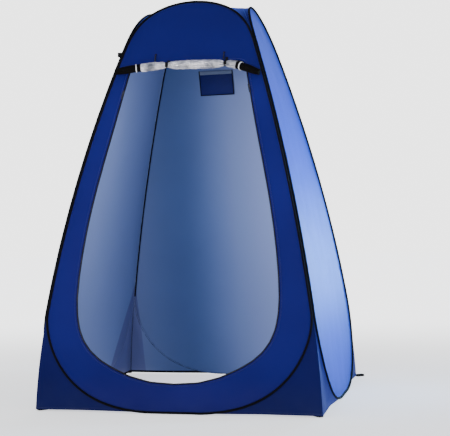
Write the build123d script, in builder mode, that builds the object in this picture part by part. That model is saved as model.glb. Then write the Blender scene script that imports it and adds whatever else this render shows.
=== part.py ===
from build123d import *
import math
import os

# Pop-up privacy shower tent, millimetres, +Z up.
# X runs to the right of the doorway, -Y is the doorway side, the origin is the
# middle of the footprint on the ground. Parts that all four sides share are
# built on the doorway side and turned about Z.

SIDES = ("front", "right", "rear", "left")   # anticlockwise seen from above

# ---- driving dimensions ---------------------------------------------------
BASE_HALF = 660.0        # half width of a wall plane at the ground
LEAN = 0.09              # inward lean of a wall at the ground
BOW = 6.8e-5             # extra inward bow of a wall with height

HOOP_LOW = 4.0           # lowest point of a hoop centre line
SEAM_LOW = 426.0         # neighbouring hoops meet here
SEAM_HIGH = 1608.0       # and part again here
HOOP_TOP = 1894.0        # highest point of a hoop centre line
HOOP_BACK = 6.0          # a hoop stands this far back from its corner line

WIRE_R = 1.75            # spring steel hoop wire
SLEEVE_OUT = 3.4         # binding sleeve round the wire, outer and inner radius
SLEEVE_IN = 2.55
FERRULE_R = 2.35         # crimped joint of the wire ends
FERRULE_GAP = 0.12       # between wire and ferrule bore
FERRULE_LIFT = 0.02      # above the lowest point of the hoop line
FERRULE_LENGTH = 32

WALL_T = 1.2             # wall fabric
WALL_EDGE = 5.2          # wall fabric stops this far inside the hoop line
WALL_SPAN = 720          # half length of a wall layer before it is trimmed
TRIM_DEPTH = 900         # outlines cut this far towards -Y from the middle


def half_width(z):
    """Distance of a wall plane from the middle of the tent at height z."""
    return BASE_HALF - LEAN * z - BOW * z * z


def front_point(x, z):
    """A point of the doorway wall."""
    return (x, -half_width(z), z)


def save(part, name):
    part.label = name
    export_step(part, f"parts/{name}.step")


# ---- lines: lists of points ---------------------------------------------------
def resample(points, count):
    """The same line in count steps of equal length."""
    lengths = [0.0]
    for a, b in zip(points, points[1:]):
        lengths.append(lengths[-1] + math.dist(a, b))
    out = []
    i = 0
    for j in range(count + 1):
        target = lengths[-1] * j / count
        while i < len(lengths) - 2 and lengths[i + 1] < target:
            i += 1
        part = (target - lengths[i]) / max(lengths[i + 1] - lengths[i], 1e-9)
        out.append(tuple(p + part * (q - p) for p, q in zip(points[i], points[i + 1])))
    return out


def inset(points, distance):
    """Open (x, z) line moved to its left; a right half from the bottom up moves inward."""
    out = []
    last = len(points) - 1
    for i, (x, z) in enumerate(points):
        before = points[max(i - 1, 0)]
        after = points[min(i + 1, last)]
        dx, dz = after[0] - before[0], after[1] - before[1]
        length = math.hypot(dx, dz)
        out.append((x - dz / length * distance, z + dx / length * distance))
    return out


def end_on_middle(line, low_z, high_z, min_x, count):
    """Resampled right half outline with both ends on x = 0.

    Inner points nearer the middle than min_x are dropped.
    """
    kept = [(0.0, low_z)] + [p for p in line[1:-1] if p[0] > min_x] + [(0.0, high_z)]
    out = resample(kept, count)
    out[0], out[-1] = kept[0], kept[-1]
    return out


def closed(half):
    """Full outline from its right half."""
    return half + [(-x, z) for x, z in half[-2:0:-1]]


def interpolate(table, at):
    """Second column of a table where its rising first column is at."""
    for (u0, v0), (u1, v1) in zip(table, table[1:]):
        if at <= u1:
            return v0 + (v1 - v0) * (at - u0) / (u1 - u0)
    return table[-1][1]


# ---- hoop line ------------------------------------------------------------------
def hoop_factor(z):
    """Share of the full hoop width at height z: 1 along the seams, 0 at both ends."""
    if z < SEAM_LOW:
        t = (SEAM_LOW - z) / (SEAM_LOW - HOOP_LOW)
        return max(0.0, 1 - t**1.49) ** (1 / 2.9)
    if z > SEAM_HIGH:
        t = (z - SEAM_HIGH) / (HOOP_TOP - SEAM_HIGH)
        return max(0.0, 1 - t**4.2) ** 0.5
    return 1.0


def hoop_half():
    """Right half of the hoop line in (x, z), bottom to top, finely sampled."""
    zs = [HOOP_LOW + (SEAM_LOW - HOOP_LOW) * (i / 500) ** 2.9 for i in range(500)]
    zs += [SEAM_LOW + (SEAM_HIGH - SEAM_LOW) * i / 400 for i in range(400)]
    zs += [HOOP_TOP - (HOOP_TOP - SEAM_HIGH) * (1 - i / 400) ** 1.5 for i in range(401)]
    return [((half_width(z) - HOOP_BACK) * hoop_factor(z), z) for z in zs]


HOOP_HALF = hoop_half()
HOOP_FINE = resample(HOOP_HALF, 400)
HOOP_STATIONS = resample([front_point(x, z) for x, z in HOOP_HALF], 34)


def edge_line(distance, count):
    """Right half outline this far inside the hoop line."""
    moved = inset(HOOP_FINE, distance)
    return end_on_middle(moved, moved[0][1], moved[-1][1], 1.5, count)


# ---- hoops ----------------------------------------------------------------------
def hoop_tube(radius):
    """Right half of a round bar that follows the hoop line, lofted through its stations."""
    last = len(HOOP_STATIONS) - 1
    with BuildPart(mode=Mode.PRIVATE) as tube:
        for i, p in enumerate(HOOP_STATIONS):
            before = Vector(*HOOP_STATIONS[max(i - 1, 0)])
            run = Vector(*HOOP_STATIONS[min(i + 1, last)]) - before
            if i in (0, last):
                # the ends lie square on the mirror plane
                run = Vector(1 if i == 0 else -1, 0, 0)
                p = (0.0, p[1], p[2])
            run = run.normalized()
            side = (Vector(0, 1, 0) - run * run.dot(Vector(0, 1, 0))).normalized()
            with BuildSketch(Plane(origin=p, x_dir=side, z_dir=run)):
                Circle(radius)
        loft()
    return tube.part


with BuildPart() as sleeve:
    add(hoop_tube(SLEEVE_OUT))
    add(hoop_tube(SLEEVE_IN), mode=Mode.SUBTRACT)
    mirror(about=Plane.YZ)

with BuildPart() as wire:
    add(hoop_tube(WIRE_R))
    mirror(about=Plane.YZ)

ferrule_start = (-FERRULE_LENGTH / 2, -half_width(HOOP_LOW), HOOP_LOW + FERRULE_LIFT)
with BuildPart() as ferrule:
    with BuildSketch(Plane(origin=ferrule_start, x_dir=(0, 1, 0), z_dir=(1, 0, 0))):
        Circle(FERRULE_R)
        Circle(WIRE_R + FERRULE_GAP, mode=Mode.SUBTRACT)
    extrude(amount=FERRULE_LENGTH)

# ---- wall fabric ----------------------------------------------------------------
PROFILE_Z = [-30.0 + 1970.0 * i / 16 for i in range(17)]


def wall_layer(inner, outer, half_span):
    """Sheet bowed like the doorway wall, between two offsets in front of its plane."""
    with BuildPart(mode=Mode.PRIVATE) as layer:
        with BuildSketch(Plane.YZ):
            with BuildLine():
                front = Spline(*[(-half_width(z) - outer, z) for z in PROFILE_Z])
                back = Spline(*[(-half_width(z) - inner, z) for z in PROFILE_Z])
                Line(front @ 0, back @ 0)
                Line(front @ 1, back @ 1)
            make_face()
        extrude(amount=half_span, both=True)
    return layer.part


with BuildPart() as plain_wall:
    add(wall_layer(-WALL_T / 2, WALL_T / 2, WALL_SPAN))
    with BuildSketch(Plane.XZ):
        with BuildLine():
            Spline(*closed(edge_line(WALL_EDGE, 30)), periodic=True)
        make_face()
    extrude(amount=TRIM_DEPTH, mode=Mode.INTERSECT)

# ---- corner gusset: the wing in the doorway wall plane, at its right corner -----
GUSSET_T = 1.0
GUSSET_EDGE = 6.0        # the wing starts this far outside the hoop line
GUSSET_TOP = 385.0
HEM_Z = 14.0             # bottom hem
HEM_RISE = 3.0           # the hoop edge of the wing starts this far above the hem
HEM_CORNER = 4.0         # the hem starts this far outward of that point
CREASE_GAP = 1.3         # from the corner line to the crease, at the top
CREASE_DRAW = 8.0        # more gap that grows to this at the ground

wing_hoop = resample([p for p in inset(HOOP_FINE, -GUSSET_EDGE)
                      if HEM_Z + HEM_RISE <= p[1] <= GUSSET_TOP], 14)


def crease_x(z):
    return half_width(z) - CREASE_GAP - CREASE_DRAW * ((GUSSET_TOP - z) / GUSSET_TOP) ** 2


crease = [(crease_x(z), z) for z in
          [HEM_Z + (wing_hoop[-1][1] - HEM_Z) * i / 8 for i in range(9)]]

with BuildPart() as wing:
    add(wall_layer(-GUSSET_T / 2, GUSSET_T / 2, WALL_SPAN))
    with BuildSketch(Plane.XZ):
        with BuildLine():
            hoop_edge = Spline(*wing_hoop)
            crease_edge = Spline(*crease)
            Line(hoop_edge @ 1, crease_edge @ 1)
            Polyline(hoop_edge @ 0, (wing_hoop[0][0] + HEM_CORNER, HEM_Z), crease_edge @ 0)
        make_face()
    extrude(amount=TRIM_DEPTH, mode=Mode.INTERSECT)

# ---- roof gore of the doorway side: a thin folded sheet from the hoop top to the two
# valleys that run from the corners to the middle of the roof
ROOF_T = 1.2
ROOF_STEPS = 16
ROOF_EDGE = 6.5          # the gore stops this far inside the hoop line
ROOF_BACK = 5.0          # and this far behind the wall plane
ROOF_LOW_Z = 1746.0      # the hoop edge of the gore lies above this
ROOF_MID_Z = 1887.0      # middle of the roof
ROOF_MID_GAP = 1.0       # the gore ends this far from the middle
ROOF_SAG = 4.0           # a valley hangs this far below its hoop point
ROOF_FAN_X = 48.0        # nearer the middle than this the rows fan to the roof middle
VALLEY_BACK = 1.6        # the valley is drawn in this far towards the middle
VALLEY_GAP = 1.4         # from the gore to the corner diagonal, along X

gore_hoop = resample([p for p in edge_line(ROOF_EDGE, 400) if p[1] > ROOF_LOW_Z], ROOF_STEPS)


def valley_of(x, z):
    """Distance of the valley from the middle, and its height, beside a hoop point."""
    return (x + ROOF_EDGE + half_width(z)) / 2 - VALLEY_BACK, z - ROOF_SAG


def gore_rows():
    """(hoop end, valley end) of each row, from the right corner to the middle."""
    rows = []
    fan_x, fan_hoop_z = [p for p in gore_hoop if p[0] >= ROOF_FAN_X][-1]
    fan_reach, fan_z = valley_of(fan_x, fan_hoop_z)
    for x, z in gore_hoop:
        if x >= ROOF_FAN_X:
            reach, valley_z = valley_of(x, z)
        else:
            s = 1 - x / fan_x
            reach = fan_reach * (1 - s) + ROOF_MID_GAP * s
            valley_z = fan_z * (1 - s) + ROOF_MID_Z * s
        hoop_end = (x, -half_width(z) + ROOF_BACK, z)
        rows.append((hoop_end, (max(reach - VALLEY_GAP, 0.0), -reach, valley_z)))
    return rows


def face_of(*points):
    return Face(Wire.make_polygon(points))


def gore_solid():
    rows = gore_rows()
    # rows across the gore, from the right corner over the top to the left
    top = rows[:-1] + [tuple((0.0, y, z) for _, y, z in rows[-1])]
    top += [tuple((-x, y, z) for x, y, z in row) for row in reversed(rows[:-1])]
    bottom = [tuple((x, y, z - ROOF_T) for x, y, z in row) for row in top]
    faces = []
    for s in range(len(top) - 1):
        for layer in (top, bottom):
            a, b = layer[s]
            c, d = layer[s + 1]
            faces.append(face_of(a, b, d))
            faces.append(face_of(a, d, c))
        for k in (0, 1):
            faces.append(face_of(top[s][k], top[s + 1][k], bottom[s + 1][k]))
            faces.append(face_of(top[s][k], bottom[s + 1][k], bottom[s][k]))
    for s in (0, len(top) - 1):
        faces.append(face_of(top[s][0], top[s][1], bottom[s][1], bottom[s][0]))
    return Solid(Shell(faces))


with BuildPart() as gore:
    add(gore_solid())


# ---- every side gets its own hoop, wall, gusset wings and roof gore -------------
def save_turned(part, turn, name):
    with BuildPart() as placed:
        add(part.rotate(Axis.Z, turn))
    save(placed.part, name)


os.makedirs("parts", exist_ok=True)

for i, side in enumerate(SIDES):
    turn = 90 * i
    save_turned(wire.part, turn, f"{side}_hoop_wire")
    save_turned(sleeve.part, turn, f"{side}_hoop_sleeve")
    save_turned(ferrule.part, turn, f"{side}_hoop_ferrule")
    save_turned(gore.part, turn, f"{side}_roof_gore")
    if side != "front":
        save_turned(plain_wall.part, turn, f"{side}_wall")
    # a wing at the corner with the next side anticlockwise, and its mirror image
    save_turned(wing.part, turn, f"{side}_gusset_{SIDES[(i + 1) % 4]}")
    save_turned(wing.part.mirror(Plane.YZ), turn, f"{side}_gusset_{SIDES[i - 1]}")

# ---- doorway --------------------------------------------------------------------
# (x, z) of the right half of the doorway outline, from the sill up
DOOR = [
    (0, 130), (110, 137), (205, 161), (285, 196), (345, 230), (392, 270), (425, 315),
    (446, 365), (458, 425), (462.5, 500), (457.5, 600), (447.5, 700), (434, 800),
    (417.5, 900), (398, 1000), (376.5, 1100), (354.5, 1200), (332.5, 1300),
    (312, 1400), (293, 1490), (284, 1530), (268, 1558), (232, 1573), (110, 1578), (0, 1579),
]


def door_line(distance):
    """Doorway outline moved outward, closed list of (x, z)."""
    moved = inset(resample(DOOR, 200), -distance)
    return closed(end_on_middle(moved, DOOR[0][1] - distance, DOOR[-1][1] + distance, 1.0, 54))


with BuildPart() as front_wall:
    add(plain_wall.part)
    with BuildSketch(Plane.XZ):
        with BuildLine():
            Spline(*door_line(0.0), periodic=True)
        make_face()
    extrude(amount=TRIM_DEPTH, mode=Mode.SUBTRACT)
save(front_wall.part, "front_wall")

# (name, start and end in front of the fabric face, reach outside and inside the
# doorway edge): the tape lies on the outside of the wall, the coil on the tape
ZIP_BANDS = [
    ("door_zip_tape", 0.1, 1.1, 11.0, 2.0),
    ("door_zip_coil", 1.2, 2.4, 2.0, 1.5),
]
ZIP_SPAN = 600           # half length of a zip layer before it is trimmed

for name, start, end, outside, inside in ZIP_BANDS:
    with BuildPart() as zip_band:
        add(wall_layer(WALL_T / 2 + start, WALL_T / 2 + end, ZIP_SPAN))
        with BuildSketch(Plane.XZ):
            with BuildLine():
                Spline(*door_line(outside), periodic=True)
            make_face()
            with BuildLine(mode=Mode.PRIVATE) as hole:
                Spline(*door_line(-inside), periodic=True)
            make_face(hole.line.edges(), mode=Mode.SUBTRACT)
        extrude(amount=TRIM_DEPTH, mode=Mode.INTERSECT)
    save(zip_band.part, name)

# ---- rolled-up door -------------------------------------------------------------
ROLL_GAP = 27.0                      # roll centre line in front of the wall
ROLL_X0, ROLL_X1 = -216.0, 243.0     # main part between the separate ends
END_GAP = 1                          # between the main part and an end
BAND_OUT, BAND_IN = 22.6, 20.5       # coil band radii
BAND_X = (-241.0, 266.0)
BAND_HALF = 4                        # half width of a coil band

# (x, z) of the roll centre line
ROLL_LINE = [
    (-344, 1556), (-300, 1561), (-240, 1567.5), (-150, 1572), (-92, 1573.5), (35, 1569),
    (117, 1567), (176, 1565.2), (203, 1564.2), (245, 1555), (298, 1536), (353, 1511),
]
# (x, radius) of the main part, with a neck under each tie strap
ROLL_MAIN = [
    (ROLL_X0, 19.8), (-204, 20.2), (-185, 20.5), (-165, 20.4), (-145, 19.8),
    (-125, 18.4), (-110, 16.4), (-101, 14.9), (-83, 14.9), (-74, 16.4),
    (-60, 18.4), (-38, 20), (-10, 20.8), (30, 21), (70, 21), (110, 20.6),
    (140, 19.8), (158, 18.4), (172, 16.4), (180, 14.9), (198, 14.9),
    (205, 16.4), (216, 18.4), (230, 19.6), (ROLL_X1, 20),
]
# (x, radius) of the right and the left end
ROLL_ENDS = [
    [(ROLL_X1 + END_GAP, 20), (285, 19.6), (320, 18.6), (353, 15)],
    [(-344, 15), (-310, 18.6), (-265, 19.6), (ROLL_X0 - END_GAP, 20)],
]


def roll_centre(x):
    """Point of the roll centre line, its height averaged over 12 mm to each side."""
    z = sum(interpolate(ROLL_LINE, x + step) for step in (-12, 0, 12)) / 3
    return Vector(x, -half_width(z) - ROLL_GAP, z)


def roll_plane(x):
    """Plane square to the roll."""
    before, after = roll_centre(x - 8), roll_centre(x + 8)
    return Plane(origin=roll_centre(x), x_dir=(0, 0, 1), z_dir=(after - before).normalized())


def roll_loft(stations, ruled=False):
    with BuildPart(mode=Mode.PRIVATE) as roll:
        for x, radius in stations:
            with BuildSketch(roll_plane(x)):
                Circle(radius)
        loft(ruled=ruled)
    return roll.part


save(roll_loft(ROLL_MAIN, ruled=True), "door_roll")

with BuildPart() as door_roll_ends:
    for stations in ROLL_ENDS:
        add(roll_loft(stations))
save(door_roll_ends.part, "door_roll_ends")

with BuildPart() as door_roll_coil_bands:
    for x in BAND_X:
        with BuildSketch(roll_plane(x)):
            Circle(BAND_OUT)
            Circle(BAND_IN, mode=Mode.SUBTRACT)
        extrude(amount=BAND_HALF, both=True)
save(door_roll_coil_bands.part, "door_roll_coil_bands")

# ---- tie straps -----------------------------------------------------------------
TIE_AT = {"left": -92.0, "right": 189.0}     # x of each strap
TIE_R = 16.0             # inner radius
TIE_T = 1.7
TIE_WIDTH = 14
TAIL_GAP = 2.0           # tail in front of the wall plane
TAIL_FOOT_Z = 1593.0
TAIL_TOP_Z = 1601.0


def tie_strap(x):
    """Strap round the neck of the roll with a short tail up to the wall behind it."""
    centre = roll_centre(x)
    foot = (-half_width(TAIL_FOOT_Z) - TAIL_GAP, TAIL_FOOT_Z)
    top = (-half_width(TAIL_TOP_Z) - TAIL_GAP, TAIL_TOP_Z)
    start = (centre.Y + 11.9, centre.Z + 12.0)
    with BuildPart() as strap:
        with BuildSketch(Plane.YZ.offset(x - TIE_WIDTH / 2)):
            with Locations((centre.Y, centre.Z)):
                Circle(TIE_R + TIE_T)
                Circle(TIE_R, mode=Mode.SUBTRACT)
            with BuildLine():
                Polyline(start, foot, top, (top[0] - TIE_T, top[1]),
                         (foot[0] - TIE_T, foot[1] + 1.4),
                         (centre.Y + 10.6, centre.Z + 13.4), start)
            make_face()
        extrude(amount=TIE_WIDTH)
    return strap.part


for side, x in TIE_AT.items():
    save(tie_strap(x), f"tie_strap_{side}")

# ---- toggles: wall tab above, bar hanging from a ring ---------------------------
TOGGLE_AT = {"left": (-158.5, 1628.0), "right": (175.0, 1618.0)}     # (x, z) of each pivot
TOGGLE_OUT = 6.5         # pivot in front of the wall
TOGGLE_WALL_Z = 1625.0   # the wall lean is taken at this height
TAB_RISE = 6.5           # tab centre above the pivot
TAB_GAP = 0.9            # tab in front of the wall plane
TAB_SIZE = (10, 8)
TAB_CORNER = 1.5
TAB_T = 1.4
BAR_R = 3.0
BAR_DROP = 3.0           # top of the bar below the pivot
BAR_LENGTH = 28
BAR_ROUND = 1.2
RING_OUT, RING_IN = 3.4, 1.6
RING_T = 2

slope = math.atan(LEAN + 2 * BOW * TOGGLE_WALL_Z)
down = Vector(0, -math.sin(slope), -math.cos(slope))
outward = Vector(0, -math.cos(slope), math.sin(slope))

with BuildPart() as toggle_tabs:
    for x, z in TOGGLE_AT.values():
        seat = Vector(*front_point(x, z + TAB_RISE)) + outward * TAB_GAP
        with BuildSketch(Plane(origin=seat, x_dir=(1, 0, 0), z_dir=outward)):
            RectangleRounded(*TAB_SIZE, TAB_CORNER)
        extrude(amount=TAB_T)
save(toggle_tabs.part, "toggle_tabs")

for side, (x, z) in TOGGLE_AT.items():
    pivot = Vector(*front_point(x, z)) + outward * TOGGLE_OUT
    ring_start = pivot - Vector(RING_T / 2, 0, 0)
    with BuildPart() as toggle:
        with BuildSketch(Plane(origin=pivot + down * BAR_DROP, x_dir=(1, 0, 0), z_dir=down)):
            Circle(BAR_R)
        extrude(amount=BAR_LENGTH)
        fillet(toggle.edges(), BAR_ROUND)
        with BuildSketch(Plane(origin=ring_start, x_dir=(0, 1, 0), z_dir=(1, 0, 0))):
            Circle(RING_OUT)
            Circle(RING_IN, mode=Mode.SUBTRACT)
        extrude(amount=RING_T)
    save(toggle.part, f"toggle_{side}")

# ---- zip sliders and pull tabs on the straight upper run of both zip sides ------
SLIDE_TOP_Z = 1452.0     # the sliders sit here
SLIDE_LOW_Z = 1086.0     # the zip run is aimed from the slider to this height
SLIDER_GAP = 6.4         # slider body in front of the wall
SLIDER_SIZE = (17, 9.5)
SLIDER_CORNER = 2.5
SLIDER_T = 3.2
SLIDER_ROUND = 0.8
BAIL_SHIFT = 3.0         # bail centre down the run from the slider centre
BAIL_LIFT = 3.0          # and above the back of the slider body
BAIL_OUT, BAIL_IN = 3.6, 2.2
BAIL_HALF = 1.0          # half width of the bail
HINGE_LIFT = 4.35        # mid-plane of the pull tab above the back of the slider body
PULL_T = 1.0
PULL_ROUND = 2.5


def slider_point(sign, z):
    """Point of the doorway edge, right (+1) or left (-1)."""
    return Vector(*front_point(sign * interpolate([(v, u) for u, v in DOOR], z), z))


def zip_slider(seat, run, normal):
    """Slider body with the half-ring bail that carries the pull tab."""
    bail_centre = seat + normal * BAIL_LIFT + run * BAIL_SHIFT
    with BuildPart() as slider:
        with BuildSketch(Plane(origin=seat, x_dir=run, z_dir=normal)):
            RectangleRounded(*SLIDER_SIZE, SLIDER_CORNER)
        extrude(amount=SLIDER_T)
        fillet(slider.edges().group_by(Axis(tuple(seat), tuple(normal)))[-1], SLIDER_ROUND)
        with BuildSketch(Plane(origin=bail_centre, x_dir=run, z_dir=run.cross(normal))):
            Circle(BAIL_OUT)
            Circle(BAIL_IN, mode=Mode.SUBTRACT)
            with Locations((0, -3)):
                Rectangle(9, 6, mode=Mode.SUBTRACT)
        extrude(amount=BAIL_HALF, both=True)
    return slider.part


def zip_pull(hinge, run, normal):
    """Flat pull tab: an opening round the bail, then a grip with a slot."""
    with BuildPart() as pull:
        with BuildSketch(Plane(origin=hinge - normal * (PULL_T / 2), x_dir=run, z_dir=normal)):
            with Locations((15.0, 0)):
                Rectangle(31.2, 8)
            with Locations((3.6, 0)):
                Rectangle(6.0, 2.8, mode=Mode.SUBTRACT)
            with Locations((22, 0)):
                SlotOverall(9, 3.4, mode=Mode.SUBTRACT)
        extrude(amount=PULL_T)
        fillet(pull.edges().filter_by(Axis(tuple(hinge), tuple(normal)))
               .sort_by(Axis(tuple(hinge), tuple(run)))[-2:], PULL_ROUND)
    return pull.part


for side, sign in (("right", 1), ("left", -1)):
    top = slider_point(sign, SLIDE_TOP_Z)
    run = (slider_point(sign, SLIDE_LOW_Z) - top).normalized()
    normal = Vector(0, -1, 0.27)
    normal = (normal - run * normal.dot(run)).normalized()
    seat = top + normal * SLIDER_GAP
    hinge = seat + normal * HINGE_LIFT + run * BAIL_SHIFT
    save(zip_slider(seat, run, normal), f"zip_slider_{side}")
    save(zip_pull(hinge, run, normal), f"zip_pull_{side}")

# ---- storage pocket on the inside of the rear wall ------------------------------
POCKET_X0, POCKET_X1 = -125.0, 61.0
POCKET_Z0, POCKET_Z1 = 1535.0, 1662.0
POCKET_WIDTH = POCKET_X1 - POCKET_X0
POCKET_INSET = 5         # panel and mouth strip inside the pocket outline
POCKET_GAP = 1.6         # panel and mouth strip to the wall plane
BINDING_GAP = 1.5        # binding to the wall plane
BINDING_W = 4.6


def pocket_section(z0, z1, gap, thick0, thick1):
    """(y, z) corners of a slab that follows the rear wall from z0 to z1."""
    low = (half_width(z0) - gap, z0)
    high = (half_width(z1) - gap, z1)
    return [low, high, (high[0] - thick1, high[1]), (low[0] - thick0, low[1])]


def pocket_part(slabs):
    """Slabs along X, each (start x, width, section)."""
    with BuildPart() as piece:
        for x, width, section in slabs:
            with BuildSketch(Plane.YZ.offset(x)):
                Polygon(*section, align=None)
            extrude(amount=width)
    return piece.part


inner_x = POCKET_X0 + POCKET_INSET
inner_width = POCKET_WIDTH - 2 * POCKET_INSET
panel = pocket_section(POCKET_Z0 + POCKET_INSET, POCKET_Z1 - 20, POCKET_GAP, 4.5, 12.0)
mouth = pocket_section(POCKET_Z1 - 19.5, POCKET_Z1, POCKET_GAP, 12.0, 9.0)
upright = pocket_section(POCKET_Z0, POCKET_Z1, BINDING_GAP, 4.0, 8.0)
bottom_strip = pocket_section(POCKET_Z0, POCKET_Z0 + BINDING_W, BINDING_GAP, 4.0, 4.4)

save(pocket_part([(inner_x, inner_width, panel)]), "storage_pocket")
save(pocket_part([(inner_x, inner_width, mouth)]), "pocket_mouth_strip")
save(pocket_part([
    (POCKET_X0, BINDING_W, upright),
    (POCKET_X1 - BINDING_W, BINDING_W, upright),
    (POCKET_X0, POCKET_WIDTH, bottom_strip),
]), "pocket_binding")

# ---- stake loops at the four corners --------------------------------------------
CORNER = 646.0           # x and y distance of a loop plane origin from the middle
STAKE_LOOP_W = 20
RIM = 1.8                # strap thickness of the rear loops
REAR_TOP = 12.5          # height of the rear loops

# closed outlines in (distance outward along the diagonal, z)
REAR_LOOP = [(4, 0), (50, 0), (53, 2.5), (49, REAR_TOP), (9, REAR_TOP), (4, 9), (4, 0)]
REAR_HOLE = [
    (6, RIM), (50, RIM), (51, 3), (47.6, REAR_TOP - RIM), (9.8, REAR_TOP - RIM),
    (6, 8), (6, RIM),
]
FRONT_LOOP = [
    (-2, 8.5), (-4, 8.5), (-9, 4.6), (-50, 4.6), (-53, 2.3), (-50, 0),
    (-8, 0), (-2, 6), (-2, 8.5),
]
FRONT_HOLE = [
    (-10.5, 1.6), (-49.6, 1.6), (-50.6, 2.3), (-49.6, 3.0), (-10.5, 3.0), (-10.5, 1.6),
]


def corner_plane(sign_x, sign_y):
    """Vertical plane through a corner, local x pointing outward along the diagonal."""
    diagonal = Vector(sign_x, sign_y, 0).normalized()
    return Plane(origin=(sign_x * CORNER, sign_y * CORNER, 0), x_dir=tuple(diagonal),
                 z_dir=tuple(diagonal.cross(Vector(0, 0, 1))))


for end, sign_y, outline, opening in (("rear", 1, REAR_LOOP, REAR_HOLE),
                                      ("front", -1, FRONT_LOOP, FRONT_HOLE)):
    for side, sign_x in (("left", -1), ("right", 1)):
        with BuildPart() as stake_loop:
            with BuildSketch(corner_plane(sign_x, sign_y).offset(-STAKE_LOOP_W / 2)):
                with BuildLine():
                    Polyline(*outline)
                make_face()
                with BuildLine():
                    Polyline(*opening)
                make_face(mode=Mode.SUBTRACT)
            extrude(amount=STAKE_LOOP_W)
        save(stake_loop.part, f"stake_loop_{end}_{side}")

# ---- guy-line loop high on the front left seam ----------------------------------
GUY_Z = 1648.0
GUY_OUT = 5.2            # root of the loop outside the left wall plane
GUY_BACK = 12.0          # loop behind the front wall plane
GUY_HALF = 8             # half height of the loop

# closed outlines in (distance outward from the root, distance towards the front)
GUY_OUTLINE = [
    (0, -1.7), (4, -1.9), (12, -7.5), (18, -8), (22.5, -4), (22.5, 4),
    (18, 8), (12, 7.5), (4, 1.9), (0, 1.7), (0, -1.7),
]
GUY_HOLE = [
    (8, 0), (12.8, -5), (17.2, -5.4), (20, -3), (20, 3), (17.2, 5.4), (12.8, 5), (8, 0),
]

guy_root = (-half_width(GUY_Z) - GUY_OUT, -half_width(GUY_Z) + GUY_BACK, GUY_Z)
with BuildPart() as guy_loop:
    with BuildSketch(Plane(origin=guy_root, x_dir=(-1, 0, 0), z_dir=(0, 0, 1))):
        with BuildLine():
            Polyline(*GUY_OUTLINE)
        make_face()
        with BuildLine():
            Polyline(*GUY_HOLE)
        make_face(mode=Mode.SUBTRACT)
    extrude(amount=GUY_HALF, both=True)
save(guy_loop.part, "guy_loop")
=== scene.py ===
"""Pop-up cabin tent: four hoop-edged walls, a low roof and an open doorway.

Metres, +Z up, the ground at z = 0 and the tent centred on the Z axis. The doorway wall
("front") faces -Y, "right" is +X, "rear" is +Y and "left" is -X. Every wall is shaped
as if it were the front one and then turned into place. Half outlines are (x, z) lines
that run from the bottom middle, up the +X side, to the top middle.
"""
import math
import random

import bmesh
import bpy
import numpy as np
from mathutils import Matrix, Vector


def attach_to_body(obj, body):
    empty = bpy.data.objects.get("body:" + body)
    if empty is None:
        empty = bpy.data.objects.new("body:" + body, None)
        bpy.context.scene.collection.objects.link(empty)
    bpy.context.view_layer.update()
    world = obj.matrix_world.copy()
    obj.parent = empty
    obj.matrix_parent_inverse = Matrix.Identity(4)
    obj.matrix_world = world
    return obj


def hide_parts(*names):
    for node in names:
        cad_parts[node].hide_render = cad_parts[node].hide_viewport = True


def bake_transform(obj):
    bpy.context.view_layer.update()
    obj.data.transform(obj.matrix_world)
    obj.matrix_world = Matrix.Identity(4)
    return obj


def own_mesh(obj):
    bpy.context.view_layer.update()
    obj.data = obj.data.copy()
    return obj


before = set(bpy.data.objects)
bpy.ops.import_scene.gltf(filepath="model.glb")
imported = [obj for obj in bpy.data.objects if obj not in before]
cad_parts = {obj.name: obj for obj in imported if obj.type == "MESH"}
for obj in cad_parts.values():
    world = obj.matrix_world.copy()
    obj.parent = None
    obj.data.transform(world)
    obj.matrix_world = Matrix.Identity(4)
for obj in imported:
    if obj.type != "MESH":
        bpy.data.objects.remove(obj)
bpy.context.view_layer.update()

# ---------------------------------------------------------------- shape of the tent
FOOT_HALF_WIDTH = 0.660         # half width of the tent at the ground
LEAN, BOW = 0.09, 0.068         # how the walls close in with height: linear and squared
HOOP_LOW, HOOP_TOP = 0.004, 1.894
SEAM_LOW, SEAM_HIGH = 0.426, 1.608   # the hoop follows the corner between these heights
HOOP_INSET = 0.006              # hoop inside the corner line

# quarter turns, anticlockwise seen from above, that take the front wall to each side
TURN = {"front": 0, "right": 1, "rear": 2, "left": 3}
MIRROR = np.array([-1, 1, 1])


def half_width(z):
    """Distance of a wall from the Z axis at height z."""
    return FOOT_HALF_WIDTH - LEAN * z - BOW * z * z


def hoop_share(z):
    """Hoop's half width at height z, as a share of its full reach."""
    if z < SEAM_LOW:
        t = (SEAM_LOW - z) / (SEAM_LOW - HOOP_LOW)
        return max(0.0, 1 - t ** 1.49) ** (1 / 2.9)
    if z > SEAM_HIGH:
        t = (z - SEAM_HIGH) / (HOOP_TOP - SEAM_HIGH)
        return max(0.0, 1 - t ** 4.2) ** 0.5
    return 1.0


def hoop_x(z):
    return (half_width(z) - HOOP_INSET) * hoop_share(z)


# ---------------------------------------------------------------- line helpers
def unit(vectors):
    return vectors / np.linalg.norm(vectors, axis=-1, keepdims=True)


def arc_lengths(points):
    """Length along a line at each of its points."""
    steps = np.linalg.norm(np.diff(points, axis=0), axis=1)
    return np.concatenate([[0], np.cumsum(steps)])


def values_at(values, lengths, wanted):
    """Row values read off at the wanted lengths along a line."""
    return np.stack([np.interp(wanted, lengths, values[:, k])
                     for k in range(values.shape[1])], axis=-1)


def resample(points, count):
    points = np.asarray(points, float)
    lengths = arc_lengths(points)
    return values_at(points, lengths, np.linspace(0, lengths[-1], count + 1))


def smooth_line(points, passes):
    for _ in range(passes):
        softer = points.copy()
        softer[1:-1] = 0.25 * points[:-2] + 0.5 * points[1:-1] + 0.25 * points[2:]
        points = softer
    return points


def rounded(points, count, passes):
    """Open line, resampled and smoothed."""
    return smooth_line(resample(points, count), passes)


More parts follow.
